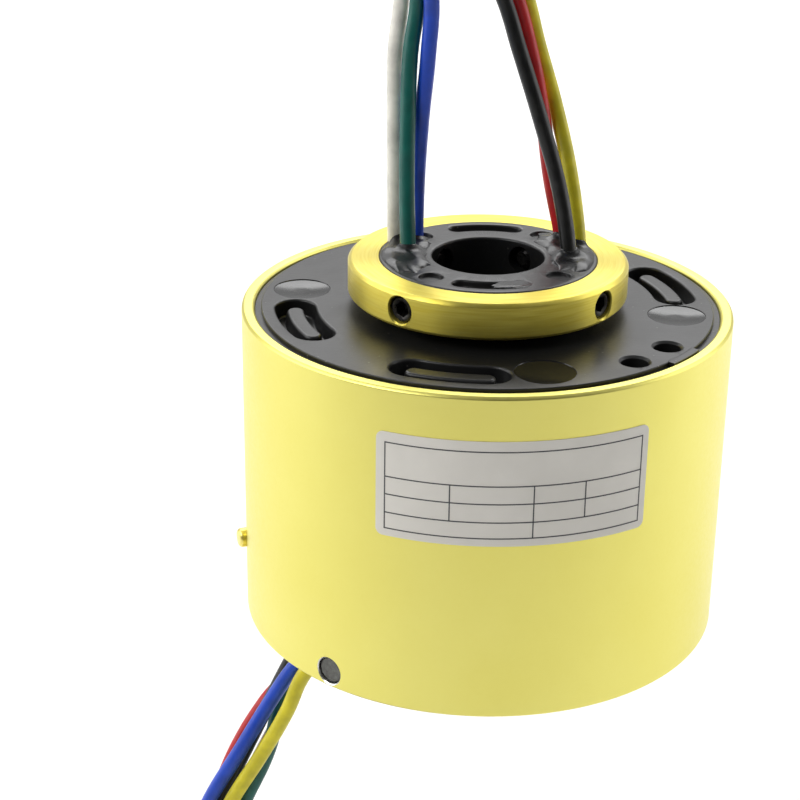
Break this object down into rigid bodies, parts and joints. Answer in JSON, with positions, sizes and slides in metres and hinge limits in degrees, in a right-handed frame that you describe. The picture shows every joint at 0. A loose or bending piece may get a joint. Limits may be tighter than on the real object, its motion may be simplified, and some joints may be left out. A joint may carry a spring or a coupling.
{
  "type": "through-bore slip ring",
  "caption": "Through-bore slip ring that carries electric circuits across a turning joint: a gold tube on bearings round a core with a shaft collar, and bundles of flying leads.",
  "frame": {"origin": "on the bore axis, level with the housing's lower rim", "axes": "+Z along the bore axis towards the shaft collar, -Y towards the middle of the label, -X towards the side the lower leads leave"},
  "size_m": [0.0687, 0.0561, 0.1607],
  "materials": {
    "anodised_gold": "turned, clear pale-gold anodising",
    "brass": "bright turned",
    "black_moulding": "satin black moulding",
    "bearing_steel": "ground and polished",
    "contact_gold": "gold-plated, polished",
    "black_oxide": "black oxide",
    "plain_steel": "dull zinc grey",
    "copper": "bare drawn wire",
    "potting": "glossy black casting resin",
    "circuit_board": "green solder mask",
    "label": "silver-grey film",
    "nylon_tie": "black nylon",
    "coiled_leads": "mixed insulation colours",
    "insulation_white": "smooth insulation",
    "insulation_green": "smooth insulation",
    "insulation_blue": "smooth insulation",
    "insulation_black": "smooth insulation",
    "insulation_red": "smooth insulation",
    "insulation_yellow": "smooth insulation"
  },
  "bodies": {
    "rotor": {"rotor_core": "black_moulding", "clamp_collar": "anodised_gold", "collar_set_screws": "black_oxide", "rotor_retaining_ring": "plain_steel", "upper_bearing_inner_race": "bearing_steel", "lower_bearing_inner_race": "bearing_steel", "contact_ring_1": "contact_gold", "contact_ring_2": "contact_gold", "contact_ring_3": "contact_gold", "contact_ring_4": "contact_gold", "contact_ring_5": "contact_gold", "contact_ring_6": "contact_gold", "ring_barrier_1": "black_moulding", "ring_barrier_2": "black_moulding", "ring_barrier_3": "black_moulding", "ring_barrier_4": "black_moulding", "ring_barrier_5": "black_moulding", "end_barriers": "black_moulding", "ring_wires": "copper", "potting_left": "potting", "potting_right": "potting", "rotor_lead_white": "insulation_white", "rotor_lead_green": "insulation_green", "rotor_lead_blue": "insulation_blue", "rotor_lead_black": "insulation_black", "rotor_lead_red": "insulation_red", "rotor_lead_yellow": "insulation_yellow", "rotor_lead_coil": "coiled_leads", "rotor_lead_ties": "nylon_tie"},
    "stator": {"housing": "anodised_gold", "upper_end_cap": "black_moulding", "lower_end_cap": "black_moulding", "lower_cap_screws": "plain_steel", "upper_bearing_outer_race": "bearing_steel", "lower_bearing_outer_race": "bearing_steel", "brush_board": "circuit_board", "board_bracket": "black_moulding", "board_screws": "plain_steel", "bracket_pin": "brass", "brush_pair_1": "contact_gold", "brush_pair_2": "contact_gold", "brush_pair_3": "contact_gold", "brush_pair_4": "contact_gold", "brush_pair_5": "contact_gold", "brush_pair_6": "contact_gold", "board_wires": "copper", "lead_gland": "potting", "label": "label", "stator_lead_white": "insulation_white", "stator_lead_green": "insulation_green", "stator_lead_blue": "insulation_blue", "stator_lead_black": "insulation_black", "stator_lead_red": "insulation_red", "stator_lead_yellow": "insulation_yellow", "stator_lead_coil": "coiled_leads", "stator_lead_ties": "nylon_tie"},
    "upper_ball_set": {"upper_bearing_balls": "bearing_steel", "upper_bearing_cage": "brass"},
    "lower_ball_set": {"lower_bearing_balls": "bearing_steel", "lower_bearing_cage": "brass"}
  },
  "joints": [
    {"name": "stator_spin", "type": "hinge", "parent": "rotor", "child": "stator", "pos_m": [0, 0, 0.019], "axis": [0, 0, 1], "continuous": true},
    {"name": "upper_ball_spin", "type": "hinge", "parent": "rotor", "child": "upper_ball_set", "pos_m": [0, 0, 0.035], "axis": [0, 0, 1], "continuous": true},
    {"name": "lower_ball_spin", "type": "hinge", "parent": "rotor", "child": "lower_ball_set", "pos_m": [0, 0, 0.004], "axis": [0, 0, 1], "continuous": true}
  ],
  "couplings": [
    {"joint": "upper_ball_spin", "follows": "stator_spin", "ratio": 0.5458},
    {"joint": "lower_ball_spin", "follows": "stator_spin", "ratio": 0.5458}
  ]
}
